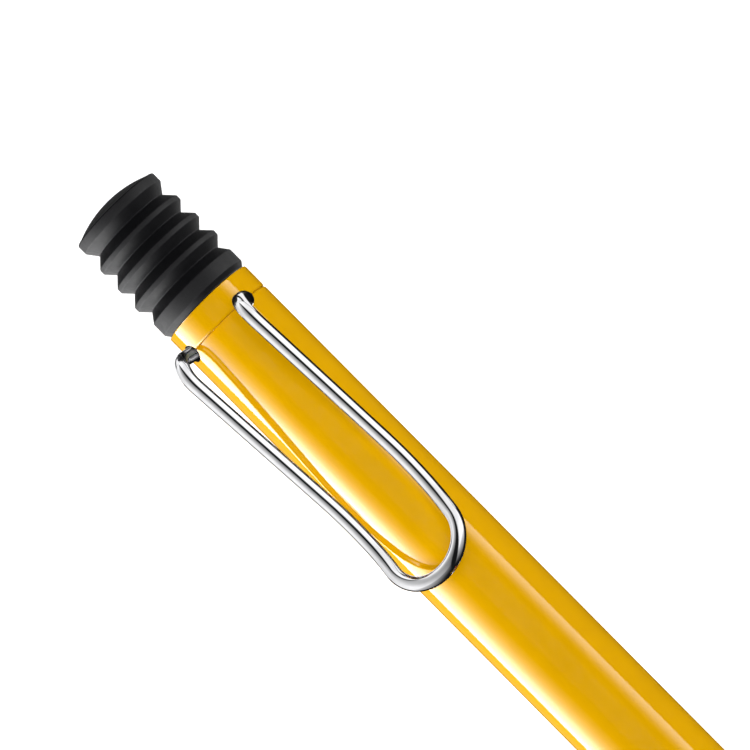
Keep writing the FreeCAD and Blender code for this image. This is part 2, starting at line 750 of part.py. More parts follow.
def make_spare_leads():
    leads = []
    for index in range(SPARE_LEADS):
        angle = math.radians(360 * index / SPARE_LEADS)
        lead = doc.addObject("Part::Cylinder", "SpareLead%d" % (index + 1))
        lead.setExpression("Radius", bound("lead_radius"))
        lead.setExpression("Height", bound("lead_length"))
        lead.Placement = Placement(Vector(0, 0, 0), Rotation(Vector(0, 1, 0), 90))
        lead.setExpression("Placement.Base.x", bound("spare_start"))
        lead.setExpression("Placement.Base.y", bound("%.6f * spare_offset" % math.sin(angle)))
        lead.setExpression("Placement.Base.z", bound("%.6f * spare_offset" % math.cos(angle)))
        leads.append(lead)
    group = doc.addObject("Part::Compound", "SpareLeads")
    group.Links = leads
    return place(group, "spare_leads")


pieces = [
    make_bellows(),
    make_button_core(),
    make_cap_ring(),
    make_collar(),
    make_barrel(),
    make_clip(),
    place(ring("ClipRetainer", "retainer_start", "retainer_end", "retainer_bore", "collar_bore"),
          "clip_retainer"),
    place(ring("GuideBush", "bush_start", "bush_start + bush_length", "bush_bore", "bore_radius"),
          "guide_bush"),
    make_o_ring(),
    make_front_section(),
    make_grip_sleeve(),
    make_tip_cone(),
    make_lead_sleeve(),
    place(ring("LeadRetainer", "lead_seat_rear", "lead_seat_end", "retainer_hole", "lead_seat"),
          "lead_retainer"),
    make_clutch_sleeve(),
    place(ring("ClutchRing", "clutch_ring_rear", "clutch_ring_end", "clutch_ring_bore",
               "clutch_ring_radius"), "clutch_ring"),
    make_chuck(),
    make_tank_connector(),
    place(ring("LeadTank", "-tank_rear", "tank_end", "tank_bore", "tank_radius"), "lead_tank"),
    make_return_spring(),
    make_eraser_holder(),
    make_eraser(),
    make_rod("CleaningNeedle", "cleaning_needle", "-needle_rear", "needle_end",
             "needle_radius", "needle_radius / 2"),
    make_spare_leads(),
    make_rod("Lead", "lead", "lead_end - lead_length", "lead_end", "lead_radius",
             "lead_radius / 3"),
]
doc.recompute()

for item in doc.Objects:
    if "Invalid" in item.State or "Error" in item.State:
        raise RuntimeError("%s is %s" % (item.Name, item.State))
for piece in pieces:
    if piece.Shape.isNull() or not piece.Shape.isValid():
        raise RuntimeError("%s has no valid shape" % piece.Label)

os.makedirs("parts", exist_ok=True)
for piece in pieces:
    piece.Shape.exportStep("parts/%s.step" % piece.Label)
    print("%-16s solids %d  volume %9.3f" % (
        piece.Label, len(piece.Shape.Solids), piece.Shape.Volume))
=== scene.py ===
import math

import bmesh
import bpy
import numpy as np
from mathutils import Matrix, Vector


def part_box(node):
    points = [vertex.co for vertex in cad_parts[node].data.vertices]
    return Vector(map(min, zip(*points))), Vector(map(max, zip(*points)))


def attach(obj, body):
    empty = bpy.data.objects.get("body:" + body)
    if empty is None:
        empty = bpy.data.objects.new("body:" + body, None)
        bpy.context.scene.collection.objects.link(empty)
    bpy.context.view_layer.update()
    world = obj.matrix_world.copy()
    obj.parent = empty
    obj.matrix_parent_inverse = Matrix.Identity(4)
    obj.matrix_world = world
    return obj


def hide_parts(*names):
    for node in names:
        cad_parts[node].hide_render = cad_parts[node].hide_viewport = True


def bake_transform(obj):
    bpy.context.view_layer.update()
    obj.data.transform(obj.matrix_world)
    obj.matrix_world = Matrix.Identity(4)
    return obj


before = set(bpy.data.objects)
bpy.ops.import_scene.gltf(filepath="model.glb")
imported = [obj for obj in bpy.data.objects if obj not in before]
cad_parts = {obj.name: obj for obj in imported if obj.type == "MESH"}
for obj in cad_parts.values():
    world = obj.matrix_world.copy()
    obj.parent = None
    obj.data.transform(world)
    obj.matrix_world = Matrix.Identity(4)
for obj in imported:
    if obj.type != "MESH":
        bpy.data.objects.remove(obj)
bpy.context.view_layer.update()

MM = 0.001

# Stations are counted in millimetres along the pencil from the collar's rear end.
# Radii and heights are counted in millimetres from the pencil's axis.
collar_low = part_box("collar")[0]
barrel_low, barrel_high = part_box("barrel")
cap_low, cap_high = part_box("bellows")
REAR = collar_low.x
AXIS_Z = (barrel_low.z + barrel_high.z) / 2
BODY_R = (barrel_high.y - barrel_low.y) / 2 / MM
BARREL_START = (barrel_low.x - REAR) / MM
BARREL_END = (barrel_high.x - REAR) / MM
BORE_R = 5.2
SHARP_ANGLE = math.radians(32)
CAP_TOP = (cap_low.x - REAR) / MM
CAP_FOOT = (cap_high.x - REAR) / MM


def at(station, side, height):
    """A point of the row frame from its station, its sideways place and its height."""
    return Vector((REAR + station * MM, side * MM, AXIS_Z + height * MM))


# ---------------------------------------------------------------- materials

# Painted shade on the clip's feet, standing in for the dark inside of their holes: the feet are
# painted dark below one height, fade out up to another, and only rearward of a station, with a
# short fade there too.
FOOT_SHADE_FULL = 4.6
FOOT_SHADE_TO = 6.0
FOOT_SHADE_STATION = 4.5
FOOT_SHADE_FADE = 0.3
FOOT_SHADE_COLOR = (0.012, 0.012, 0.016, 1)


def new_material(name, color, roughness, metallic=0.0):
    """A material with a Principled shader, and the shader node."""
    material = bpy.data.materials.new(name)
    material.use_nodes = True
    shader = material.node_tree.nodes["Principled BSDF"]
    shader.inputs["Base Color"].default_value = (*color, 1)
    shader.inputs["Roughness"].default_value = roughness
    shader.inputs["Metallic"].default_value = metallic
    return material, shader


def add_node(material, kind, **settings):
    node = material.node_tree.nodes.new(kind)
    for key, value in settings.items():
        if hasattr(node, key):
            setattr(node, key, value)
        else:
            node.inputs[key.replace("_", " ")].default_value = value
    return node


def link(material, source, target):
    material.node_tree.links.new(source, target)


def place_of(material, stretch=(1, 1, 1)):
    """Object coordinates in metres, stretched per axis."""
    coordinates = add_node(material, "ShaderNodeTexCoord")
    mapping = add_node(material, "ShaderNodeMapping", Scale=stretch)
    link(material, coordinates.outputs["Object"], mapping.inputs["Vector"])
    return mapping.outputs["Vector"]


def noise(material, scale, detail=3.0, rough=0.5, stretch=(1, 1, 1)):
    node = add_node(material, "ShaderNodeTexNoise", Scale=scale, Detail=detail, Roughness=rough)
    link(material, place_of(material, stretch), node.inputs["Vector"])
    return node.outputs["Fac"]


def spread(material, value, low, high, dark, light):
    """Two colours, mixed by a value between its low and high marks."""
    ramp = add_node(material, "ShaderNodeValToRGB")
    ramp.color_ramp.elements[0].position = low
    ramp.color_ramp.elements[1].position = high
    ramp.color_ramp.elements[0].color = (*dark, 1)
    ramp.color_ramp.elements[1].color = (*light, 1)
    link(material, value, ramp.inputs["Fac"])
    return ramp.outputs["Color"]


def grey_range(material, value, low, high, start, end):
    """A value between its low and high marks, brought to a range."""
    node = add_node(material, "ShaderNodeMapRange")
    node.inputs["From Min"].default_value = low
    node.inputs["From Max"].default_value = high
    node.inputs["To Min"].default_value = start
    node.inputs["To Max"].default_value = end
    link(material, value, node.inputs["Value"])
    return node.outputs["Result"]


def bumped(material, shader, layers):
    """Bump from several heights, each as (height, depth in metres)."""
    normal = None
    for height, depth in layers:
        bump = add_node(material, "ShaderNodeBump", Strength=1.0, Distance=depth)
        link(material, height, bump.inputs["Height"])
        if normal is not None:
            link(material, normal, bump.inputs["Normal"])
        normal = bump.outputs["Normal"]
    link(material, normal, shader.inputs["Normal"])


def glossy_yellow():
    material, shader = new_material("glossy_yellow", (0.70, 0.36, 0.0), 0.08)
    cloud = noise(material, 260, 2.0)
    link(material, spread(material, cloud, 0.3, 0.7, (0.69, 0.352, 0.0), (0.72, 0.370, 0.0)),
         shader.inputs["Base Color"])
    smudge = noise(material, 900, 4.0, 0.6)
    link(material, grey_range(material, smudge, 0.35, 0.7, 0.05, 0.11), shader.inputs["Roughness"])
    flow = noise(material, 420, 1.0, stretch=(0.35, 1, 1))
    grain = noise(material, 9000, 2.0)
    bumped(material, shader, [(flow, 0.000006), (grain, 0.0000006)])
    shader.inputs["IOR"].default_value = 1.5
    return material


def matte_rubber(name, light):
    material, shader = new_material(name, light, 0.5)
    dust = noise(material, 6000, 5.0, 0.7)
    shade = tuple(channel * 0.5 for channel in light)
    link(material, spread(material, dust, 0.45, 0.75, shade, light), shader.inputs["Base Color"])
    skin = noise(material, 1500, 3.0)
    link(material, grey_range(material, skin, 0.3, 0.7, 0.36, 0.46), shader.inputs["Roughness"])
    pore = noise(material, 11000, 2.0)
    ripple = noise(material, 2400, 2.0)
    bumped(material, shader, [(ripple, 0.000005), (pore, 0.000004)])
    shader.inputs["Specular IOR Level"].default_value = 0.2
    return material


def polished_wire():
    """Bright wire, with painted shade darkening its feet where they stand in the holes."""
    material, shader = new_material("polished_wire", (0.86, 0.86, 0.87), 0.06, 1.0)
    film = noise(material, 700, 3.0)
    bright = spread(material, film, 0.3, 0.7, (0.84, 0.84, 0.86), (0.92, 0.92, 0.93))
    # Painted shade: a mask by height and by station, mixing the dark foot colour over the bright
    # wire.
    split = add_node(material, "ShaderNodeSeparateXYZ")
    link(material, place_of(material), split.inputs["Vector"])
    depth = grey_range(material, split.outputs["Z"],
                       at(0, 0, FOOT_SHADE_TO).z, at(0, 0, FOOT_SHADE_FULL).z, 0, 1)
    behind = grey_range(material, split.outputs["X"],
                        at(FOOT_SHADE_STATION + FOOT_SHADE_FADE, 0, 0).x,
                        at(FOOT_SHADE_STATION, 0, 0).x, 0, 1)
    both = add_node(material, "ShaderNodeMath", operation="MULTIPLY")
    link(material, depth, both.inputs[0])
    link(material, behind, both.inputs[1])
    wire_with_painted_shade = add_node(material, "ShaderNodeMixRGB", Color2=FOOT_SHADE_COLOR)
    link(material, both.outputs["Value"], wire_with_painted_shade.inputs["Fac"])
    link(material, bright, wire_with_painted_shade.inputs["Color1"])
    link(material, wire_with_painted_shade.outputs["Color"], shader.inputs["Base Color"])
    wear = noise(material, 3200, 4.0, 0.6)
    link(material, grey_range(material, wear, 0.4, 0.75, 0.025, 0.07), shader.inputs["Roughness"])
    drawn = noise(material, 5200, 2.0, stretch=(0.06, 1, 1))
    bumped(material, shader, [(drawn, 0.0000008)])
    return material


def moulded_black():
    material, shader = new_material("moulded_black", (0.02, 0.02, 0.021), 0.36)
    cloud = noise(material, 1800, 4.0)
    link(material, spread(material, cloud, 0.35, 0.7, (0.014, 0.014, 0.015), (0.030, 0.030, 0.032)),
         shader.inputs["Base Color"])
    wear = noise(material, 2600, 3.0)
    link(material, grey_range(material, wear, 0.3, 0.7, 0.28, 0.44), shader.inputs["Roughness"])
    grain = noise(material, 7000, 3.0, 0.6)
    bumped(material, shader, [(grain, 0.000008)])
    return material


def moulded_white():
    material, shader = new_material("moulded_white", (0.8, 0.8, 0.77), 0.4)
    cloud = noise(material, 900, 3.0)
    link(material, spread(material, cloud, 0.3, 0.7, (0.74, 0.74, 0.70), (0.84, 0.84, 0.81)),
         shader.inputs["Base Color"])
    wear = noise(material, 2400, 3.0)
    link(material, grey_range(material, wear, 0.3, 0.7, 0.32, 0.5), shader.inputs["Roughness"])
    bumped(material, shader, [(noise(material, 5200, 2.0), 0.000004)])
    shader.inputs["Subsurface Weight"].default_value = 0.15
    shader.inputs["Subsurface Scale"].default_value = 0.001
    return material


def turned_metal(name, dark, light, smooth, rough, pitch):
    """Metal off a lathe: fine rings about the pencil's axis."""
    material, shader = new_material(name, light, rough, 1.0)
    film = noise(material, 1100, 4.0)
    link(material, spread(material, film, 0.3, 0.72, dark, light), shader.inputs["Base Color"])
    rings = add_node(material, "ShaderNodeTexWave", Scale=1.0 / (pitch * 2 * math.pi),
                     Distortion=0.6, Detail=2.0)
    rings.bands_direction = "X"
    link(material, place_of(material), rings.inputs["Vector"])
    handled = noise(material, 2800, 4.0, 0.6)
    link(material, grey_range(material, handled, 0.35, 0.7, smooth, rough),
         shader.inputs["Roughness"])
    bumped(material, shader, [(rings.outputs["Fac"], 0.0000014), (handled, 0.0000008)])
    return material


def worn_eraser():
    """White vinyl, grey with graphite at the end that rubs."""
    material, shader = new_material("worn_eraser", (0.85, 0.85, 0.83), 0.8)
    rubbed_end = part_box("eraser")[0].x
    along = add_node(material, "ShaderNodeSeparateXYZ")
    link(material, place_of(material), along.inputs["Vector"])
    near_end = grey_range(material, along.outputs["X"], rubbed_end, rubbed_end + 2 * MM, 1, 0)
    smear = add_node(material, "ShaderNodeMath", operation="MULTIPLY")
    link(material, near_end, smear.inputs[0])
    link(material, noise(material, 1500, 5.0, 0.7), smear.inputs[1])
    link(material, spread(material, smear.outputs["Value"], 0.1, 0.7,
                          (0.86, 0.86, 0.84), (0.32, 0.32, 0.33)), shader.inputs["Base Color"])
    bumped(material, shader, [(noise(material, 4200, 4.0, 0.7), 0.00003)])
    return material


def graphite():
    material, shader = new_material("graphite", (0.07, 0.07, 0.08), 0.4, 0.4)
    speck = noise(material, 16000, 4.0, 0.7)
    link(material, spread(material, speck, 0.35, 0.7, (0.04, 0.04, 0.045), (0.12, 0.12, 0.13)),
         shader.inputs["Base Color"])
    link(material, grey_range(material, speck, 0.3, 0.7, 0.3, 0.55), shader.inputs["Roughness"])
    bumped(material, shader, [(speck, 0.000004)])
    return material


YELLOW = glossy_yellow()
RUBBER = matte_rubber("bellows_rubber", (0.006, 0.006, 0.007))
GRIP_RUBBER = matte_rubber("grip_rubber", (0.016, 0.016, 0.018))
WIRE = polished_wire()
BLACK = moulded_black()
WHITE = moulded_white()
NICKEL = turned_metal("nickel", (0.60, 0.57, 0.53), (0.74, 0.71, 0.67), 0.10, 0.24, 0.00012)
BRASS = turned_metal("brass", (0.62, 0.42, 0.16), (0.84, 0.63, 0.30), 0.16, 0.34, 0.00010)
STEEL = turned_metal("spring_steel", (0.45, 0.45, 0.47), (0.66, 0.66, 0.68), 0.16, 0.34, 0.00030)
ERASER = worn_eraser()
GRAPHITE = graphite()

CAD_FINISHES = {
    "button_core": BLACK, "cap_ring": BLACK, "clip_retainer": BLACK, "front_section": YELLOW,
    "guide_bush": WHITE, "tank_connector": WHITE, "lead_tank": WHITE, "eraser_holder": WHITE,
    "o_ring": RUBBER, "lead_retainer": RUBBER, "tip_cone": NICKEL, "lead_sleeve": NICKEL,
    "clutch_sleeve": BRASS, "clutch_ring": BRASS, "chuck": BRASS, "return_spring": STEEL,
    "cleaning_needle": STEEL, "eraser": ERASER, "spare_leads": GRAPHITE, "lead": GRAPHITE,
}
for node, finish in CAD_FINISHES.items():
    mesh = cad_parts[node].data
    mesh.materials.clear()
    mesh.materials.append(finish)


# ------------------------------------------------------------- mesh helpers

def finish_mesh(bm, name, material, crease=SHARP_ANGLE):
    """Turns a bmesh into a smooth-shaded object with sharp edges above the crease angle."""
    bmesh.ops.recalc_face_normals(bm, faces=bm.faces)
    mesh = bpy.data.meshes.new(name)
    bm.to_mesh(mesh)
    bm.free()
    mesh.materials.append(material)
    mesh.polygons.foreach_set("use_smooth", [True] * len(mesh.polygons))
    mesh.set_sharp_from_angle(angle=crease)
    thing = bpy.data.objects.new(name, mesh)
    bpy.context.scene.collection.objects.link(thing)
    return thing


def skin_rings(bm, rings, closed):
    """Joins rings of vertices, each a full turn or one vertex on the axis."""
    count = len(rings) if closed else len(rings) - 1
    for index in range(count):
        first = rings[index]
        second = rings[(index + 1) % len(rings)]
        for turn in range(max(len(first), len(second))):
            corners = [first[turn % len(first)], first[(turn + 1) % len(first)],
                       second[(turn + 1) % len(second)], second[turn % len(second)]]
            corners = list(dict.fromkeys(corners))
            if len(corners) > 2:
                bm.faces.new(corners)


def lathe(name, outline, material, segments=192):
    """A solid turned about the pencil's axis from a closed outline of (station, radius)."""
    bm = bmesh.new()
    rings = []
    for station, radius in outline:
        if radius < 1e-6:
            rings.append([bm.verts.new(at(station, 0, 0))])
            continue
        rings.append([
            bm.verts.new(at(station, radius * math.sin(turn), radius * math.cos(turn)))
            for turn in np.linspace(0, 2 * math.pi, segments, endpoint=False)
        ])
    skin_rings(bm, rings, True)
    return finish_mesh(bm, name, material)


def rounded(corners, steps=6):
    """An outline with rounded corners, from (station, radius, rounding) corners."""
    points = []
    count = len(corners)
    for index, corner in enumerate(corners):
        here = Vector(corner[:2])
        rounding = corner[2] if len(corner) > 2 else 0
        before = Vector(corners[index - 1][:2]) - here
        after = Vector(corners[(index + 1) % count][:2]) - here
        if rounding <= 0 or before.length < 1e-9 or after.length < 1e-9:
            points.append(tuple(here))
            continue
        opening = before.angle(after)
        reach = rounding / math.tan(opening / 2)
        reach = min(reach, 0.48 * before.length, 0.48 * after.length)
        start = here + before.normalized() * reach
        end = here + after.normalized() * reach
        for step in range(steps + 1):
            share = step / steps
            near = start.lerp(here, share)
            far = here.lerp(end, share)
            points.append(tuple(near.lerp(far, share)))
    return points


def ball_cap(top, edge, rise, steps=16):
    """Points from the top of a domed end to its edge."""
    ball = (edge ** 2 + rise ** 2) / (2 * rise)
    radii = [edge * step / steps for step in range(steps + 1)]
    return [(top + ball - math.sqrt(ball ** 2 - radius ** 2), radius) for radius in radii]


def cut_away(thing, cutters):
    """Cuts the cutters out of a piece's mesh for good, and removes the cutters."""
    for cutter in cutters:
        modifier = thing.modifiers.new("cut", "BOOLEAN")
        modifier.operation = "DIFFERENCE"
        modifier.solver = "EXACT"
        modifier.object = cutter
        # The cut walls take the cutter's material; the black hole cutters give painted shade inside
        # the holes.
        modifier.material_mode = "TRANSFER"
    graph = bpy.context.evaluated_depsgraph_get()
    result = bpy.data.meshes.new_from_object(thing.evaluated_get(graph))
    thing.modifiers.clear()
    thing.data = result
    result.polygons.foreach_set("use_smooth", [True] * len(result.polygons))
    result.set_sharp_from_angle(angle=SHARP_ANGLE)
    for cutter in cutters:
        bpy.data.objects.remove(cutter, do_unlink=True)


# ------------------------------------------------------------------- bellows

FOLD_PITCH = 3.05
FOLDS = 3
FIRST_VALLEY = (-13.02, 5.22)
FIRST_RIDGE = (-11.45, 6.4)
VALLEY_GROWTH = 0.09
RIDGE_GROWTH = 0.1
RIDGE_HALF = 0.31
RUBBER_WALL = 0.9
VALLEY_ROUND = 0.13
RIDGE_ROUND = 0.12
INSIDE_ROUND = 0.2
BASE_REAR = -2.63
BASE_R = 6.4
BASE_CHAMFER = -0.78
BASE_LAND = -0.2
BASE_FOOT_R = 5.95
BASE_BORE = 5.02
BASE_FLOOR = -2.9
DOME_EDGE = 5.85
DOME_RISE = 1.25
DOME_SHOULDER = 1.3
RIM_END = -14.4


def make_bellows():
    """The rubber cap: a domed end, folds and a base ring, hollow inside."""
    outer = ball_cap(CAP_TOP, DOME_EDGE, DOME_RISE)
    outer += [(CAP_TOP + DOME_SHOULDER, BODY_R, 0.3), (RIM_END, BODY_R, 0.16)]
    for fold in range(FOLDS):
        valley = FIRST_VALLEY[0] + fold * FOLD_PITCH
        ridge = FIRST_RIDGE[0] + fold * FOLD_PITCH
        crest = FIRST_RIDGE[1] + fold * RIDGE_GROWTH
        outer.append((valley, FIRST_VALLEY[1] + fold * VALLEY_GROWTH, VALLEY_ROUND))
        outer.append((ridge - RIDGE_HALF, crest, RIDGE_ROUND))
        outer.append((ridge + RIDGE_HALF, crest, RIDGE_ROUND))
    last_valley = FIRST_VALLEY[0] + FOLDS * FOLD_PITCH
    last_root = FIRST_VALLEY[1] + FOLDS * VALLEY_GROWTH
    outer += [
        (last_valley, last_root, VALLEY_ROUND),
        (BASE_REAR, BASE_R, 0.2),
        (BASE_CHAMFER, BASE_R, 0.2),
        (BASE_LAND, BASE_FOOT_R, 0.1),
        (CAP_FOOT, BASE_FOOT_R),
        (CAP_FOOT, BASE_BORE),
        (BASE_FLOOR, BASE_BORE),
        (last_valley, last_root - RUBBER_WALL, INSIDE_ROUND),
    ]
    for fold in reversed(range(FOLDS)):
        valley = FIRST_VALLEY[0] + fold * FOLD_PITCH
        ridge = FIRST_RIDGE[0] + fold * FOLD_PITCH
        outer.append((ridge, FIRST_RIDGE[1] + fold * RIDGE_GROWTH - RUBBER_WALL, INSIDE_ROUND))
        outer.append((valley, FIRST_VALLEY[1] + fold * VALLEY_GROWTH - RUBBER_WALL, INSIDE_ROUND))
    outer.append((RIM_END, BODY_R - RUBBER_WALL))
    outer += ball_cap(CAP_TOP + RUBBER_WALL, BODY_R - RUBBER_WALL, DOME_RISE)[::-1]
    bellows = lathe("bellows_skin", rounded(outer), RUBBER, 160)
    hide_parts("bellows")
    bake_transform(bellows)
    return bellows


# ---------------------------------------------------------- collar and barrel

HOLE_LONG = 1.2
HOLE_WIDE = 1.02
HOLE_FLOOR = 1.2
FOOT_HEIGHT = 2.2
FOOT_INNER = 3.0
FOOT_OUTER = 4.3
SLOT_TOP = 3.4
CLIP_TOP = 10.95
CLIP_TOP_SIDE = 5.5
LEG_LEAN = (CLIP_TOP_SIDE - FOOT_OUTER) / (CLIP_TOP - FOOT_HEIGHT)
SLOT_OVERLAP = 0.2
SEAM = 0.14
COLLAR_BORE = 4.5
SOCKET_R = 5.15
SOCKET_END = 8.0


def hole_cutters():
    """The two clip holes, leaning as the legs do, and the slots that hold the clip's feet. The
    cutters are black and pass that onto the walls they cut, as painted shade inside the holes and
    slots.
    """
    cutters = []
    for sign in (1, -1):
        bm = bmesh.new()
        rings = []
        for height in (HOLE_FLOOR, BODY_R + 1):
            middle = sign * (FOOT_OUTER + (height - FOOT_HEIGHT) * LEG_LEAN)
            rings.append([
                bm.verts.new(at(BARREL_START + HOLE_LONG * math.cos(turn),
                                middle + HOLE_WIDE * math.sin(turn), height))
                for turn in np.linspace(0, 2 * math.pi, 64, endpoint=False)
            ])
        skin_rings(bm, rings, False)
        bm.faces.new(rings[0])
        bm.faces.new(rings[1])
        # Black cutters, so the walls of the holes and slots come out black: painted shade.
        cutters.append(finish_mesh(bm, "hole_cutter", BLACK))
        bm = bmesh.new()
        bmesh.ops.create_cube(bm, size=1)
        width = FOOT_OUTER - FOOT_INNER + SLOT_OVERLAP
        bmesh.ops.scale(bm, verts=bm.verts, vec=Vector(
            (2 * HOLE_LONG, width, SLOT_TOP - HOLE_FLOOR)) * MM)
        bmesh.ops.translate(bm, verts=bm.verts, vec=at(
            BARREL_START, sign * (FOOT_OUTER - width / 2), (SLOT_TOP + HOLE_FLOOR) / 2))
        cutters.append(finish_mesh(bm, "slot_cutter", BLACK))
    return cutters


def make_collar():
    """The ring behind the barrel, with the socket tube that the barrel goes over."""
    outline = rounded([
        (0, COLLAR_BORE), (0, BODY_R, 0.2), (BARREL_START, BODY_R, 0.5),
        (BARREL_START, SOCKET_R), (SOCKET_END, SOCKET_R), (SOCKET_END, COLLAR_BORE),
    ])
    collar = lathe("collar_shell", outline, YELLOW, 288)
    cut_away(collar, hole_cutters())
    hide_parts("collar")
    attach(collar, "root")
    collar.visible_glossy = False
    return collar


RECESS_DEPTH = 0.63
EDGE_POINTS = 900
DEPTH_BLOCK = 2000
# Parts of the barrel's radius between which the dense rows follow the recess's edge.
EDGE_NEAREST = 0.42
EDGE_FURTHEST = 0.9
EDGE_ROUND = 1.8
# Faces round half the barrel: on the recess's floor, on its wall and on the rest.
FLOOR_TURNS = 22
WALL_TURNS = 26
REST_TURNS = 60
# The recess lies where the cosine of the angle from the top is above this.
RECESS_COSINE = 0.4
# Distances from an end of the barrel, in seam depths, over which its edge is rounded.
EDGE_STEPS = np.array([0, 0.25, 0.6, 1.1, EDGE_ROUND])
# Half widths of the recess under the clip at its upper edge, by station; it's wider towards +Y.
RECESS_LEFT = [(2.0, 4.6), (3.4, 3.8), (4.1, 3.38), (5.2, 3.25), (8.0, 3.35), (12.0, 3.65),
               (16.5, 4.05), (21.0, 4.5), (26.0, 4.8), (30.5, 4.88), (35.5, 4.5), (39.0, 3.75),
               (41.0, 2.8), (42.2, 1.6), (42.6, 0.0)]
RECESS_RIGHT = [(2.0, 4.6), (3.4, 4.3), (5.2, 4.15), (8.0, 4.2), (12.0, 4.35),
                (16.5, 4.6), (21.0, 4.8), (26.0, 4.95), (30.5, 5.0), (35.5, 4.85), (39.0, 4.35),
                (41.0, 3.35), (42.2, 1.85), (42.6, 0.0)]
# Width of the recess's rounded wall, by station.
RECESS_WALL = [(2.0, 0.62), (12.0, 0.65), (16.5, 0.7), (21.0, 0.75), (26.0, 0.5), (30.0, 0.42),
               (35.5, 0.5), (41.0, 0.55), (43.0, 0.6)]


def smooth_curve(points, count):
    """Points on a smooth curve through the given ones, by their running length."""
    points = np.array(points, float)
    steps = np.linalg.norm(np.diff(points, axis=0), axis=1)
    length = np.concatenate([[0], np.cumsum(steps)])
    slopes = np.gradient(points, length, axis=0)
    where = np.linspace(0, length[-1], count)
    left = np.clip(np.searchsorted(length, where, side="right") - 1, 0, len(points) - 2)
    span = (length[left + 1] - length[left])[:, None]
    share = ((where - length[left])[:, None]) / span
    return ((2 * share ** 3 - 3 * share ** 2 + 1) * points[left]
            + (share ** 3 - 2 * share ** 2 + share) * span * slopes[left]
            + (3 * share ** 2 - 2 * share ** 3) * points[left + 1]
            + (share ** 3 - share ** 2) * span * slopes[left + 1])


def recess_depths(outline, stations, sides):
    """Depth of one half of the recess at each station and sideways place."""
    edge = smooth_curve(outline, EDGE_POINTS)
    inside = sides < np.interp(stations, edge[:, 0], edge[:, 1], right=0)
    depth = np.zeros_like(stations)
    chosen = np.argwhere(inside).ravel()
    points = np.stack([stations[chosen], sides[chosen]], axis=1)
    for start in range(0, len(points), DEPTH_BLOCK):
        block = points[start:start + DEPTH_BLOCK]
        gap = np.linalg.norm(block[:, None, :] - edge[None, :, :], axis=2).min(axis=1)
        wall = np.interp(block[:, 0], *np.array(RECESS_WALL).T)
        share = np.clip(gap / wall, 0, 1)
        depth[chosen[start:start + DEPTH_BLOCK]] = (
            RECESS_DEPTH * share ** 3 / (share ** 3 + (1 - share) ** 3))
    return depth


def barrel_turns(outline, rows):
    """Angles from the top for each row, crowded where the recess's wall runs."""
    edge = smooth_curve(outline, EDGE_POINTS)
    half = np.interp(rows, edge[:, 0], edge[:, 1], right=0)
    wall = np.interp(rows, *np.array(RECESS_WALL).T)
    outer = np.arcsin(np.clip(half / BODY_R, EDGE_NEAREST, EDGE_FURTHEST)) + 0.02
    inner = outer - wall / BODY_R * 1.25 - 0.05
    floor_turns = np.linspace(0, 1, FLOOR_TURNS, endpoint=False) * inner[:, None]
    wall_share = np.linspace(0, 1, WALL_TURNS, endpoint=False)
    wall_turns = inner[:, None] + wall_share * (outer - inner)[:, None]
    rest_share = np.linspace(0, 1, REST_TURNS, endpoint=False)
    rest = outer[:, None] + rest_share * (math.pi - outer)[:, None]
    return np.concatenate([floor_turns, wall_turns, rest], axis=1)


def make_barrel():
    """A tube whose outer skin is a fine grid, pushed in where the recess is."""
    rows = np.concatenate([
        BARREL_START + SEAM * EDGE_STEPS,
        np.linspace(BARREL_START + 0.5, 6, 30, endpoint=False),
        np.linspace(6, 38.5, 140, endpoint=False),
        np.linspace(38.5, 43, 100),
        np.linspace(44.5, BARREL_END - 1.0, 12),
        BARREL_END - SEAM * EDGE_STEPS[::-1],
    ])
    right = barrel_turns(RECESS_RIGHT, rows)
    left = barrel_turns(RECESS_LEFT, rows)
    under = np.full((len(rows), 1), math.pi)
    turn = np.concatenate([right, under, 2 * math.pi - left[:, :0:-1]], axis=1)
    columns = turn[0]
    station = np.repeat(rows[:, None], len(columns), axis=1)
    side = BODY_R * np.sin(turn)
    depth = np.zeros_like(turn)
    for outline, half in ((RECESS_RIGHT, side >= 0), (RECESS_LEFT, side < 0)):
        near = half & (np.cos(turn) > RECESS_COSINE)
        depth[near] = recess_depths(outline, station[near], np.abs(side[near]))
    from_end = np.minimum(station - BARREL_START, BARREL_END - station)
    share = np.clip(1 - from_end / (EDGE_ROUND * SEAM), 0, 1)
    radius = BODY_R - np.maximum(depth, SEAM * share ** 2)
    bm = bmesh.new()
    rings = []
    for row in range(len(rows)):
        rings.append([
            bm.verts.new(at(station[row, column],
                            radius[row, column] * math.sin(turn[row, column]),
                            radius[row, column] * math.cos(turn[row, column])))
            for column in range(len(columns))
        ])
    for end in (BARREL_END, BARREL_START):
        rings.append([
            bm.verts.new(at(end, BORE_R * math.sin(angle), BORE_R * math.cos(angle)))
            for angle in columns
        ])
    skin_rings(bm, rings, True)
    barrel = finish_mesh(bm, "barrel_shell", YELLOW, math.radians(40))
    cut_away(barrel, hole_cutters())
    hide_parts("barrel")
    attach(barrel, "root")
    barrel.visible_glossy = False
    return barrel


# ---------------------------------------------------------------------- clip

WIRE_R = 0.93
END_ANGLES = (28, 56, 84)
END_FLATNESS = 0.5
DEGREES_PER_STEP = 2.5
LOOP_R = 5.14
LOOP_RISE = math.radians(28)
CLIP_POINTS = [
    # station, half width, height above the axis, bend radius
    (BARREL_START, FOOT_INNER, FOOT_HEIGHT, 0),
    (BARREL_START, FOOT_OUTER, FOOT_HEIGHT, 1.2),
    (BARREL_START, CLIP_TOP_SIDE, CLIP_TOP, 3.0),
    (30.3, 5.24, 5.15, 20.0),
    (36.58, LOOP_R, 6.03, 14.0),
    (38.76, LOOP_R, 7.19, 0),
]


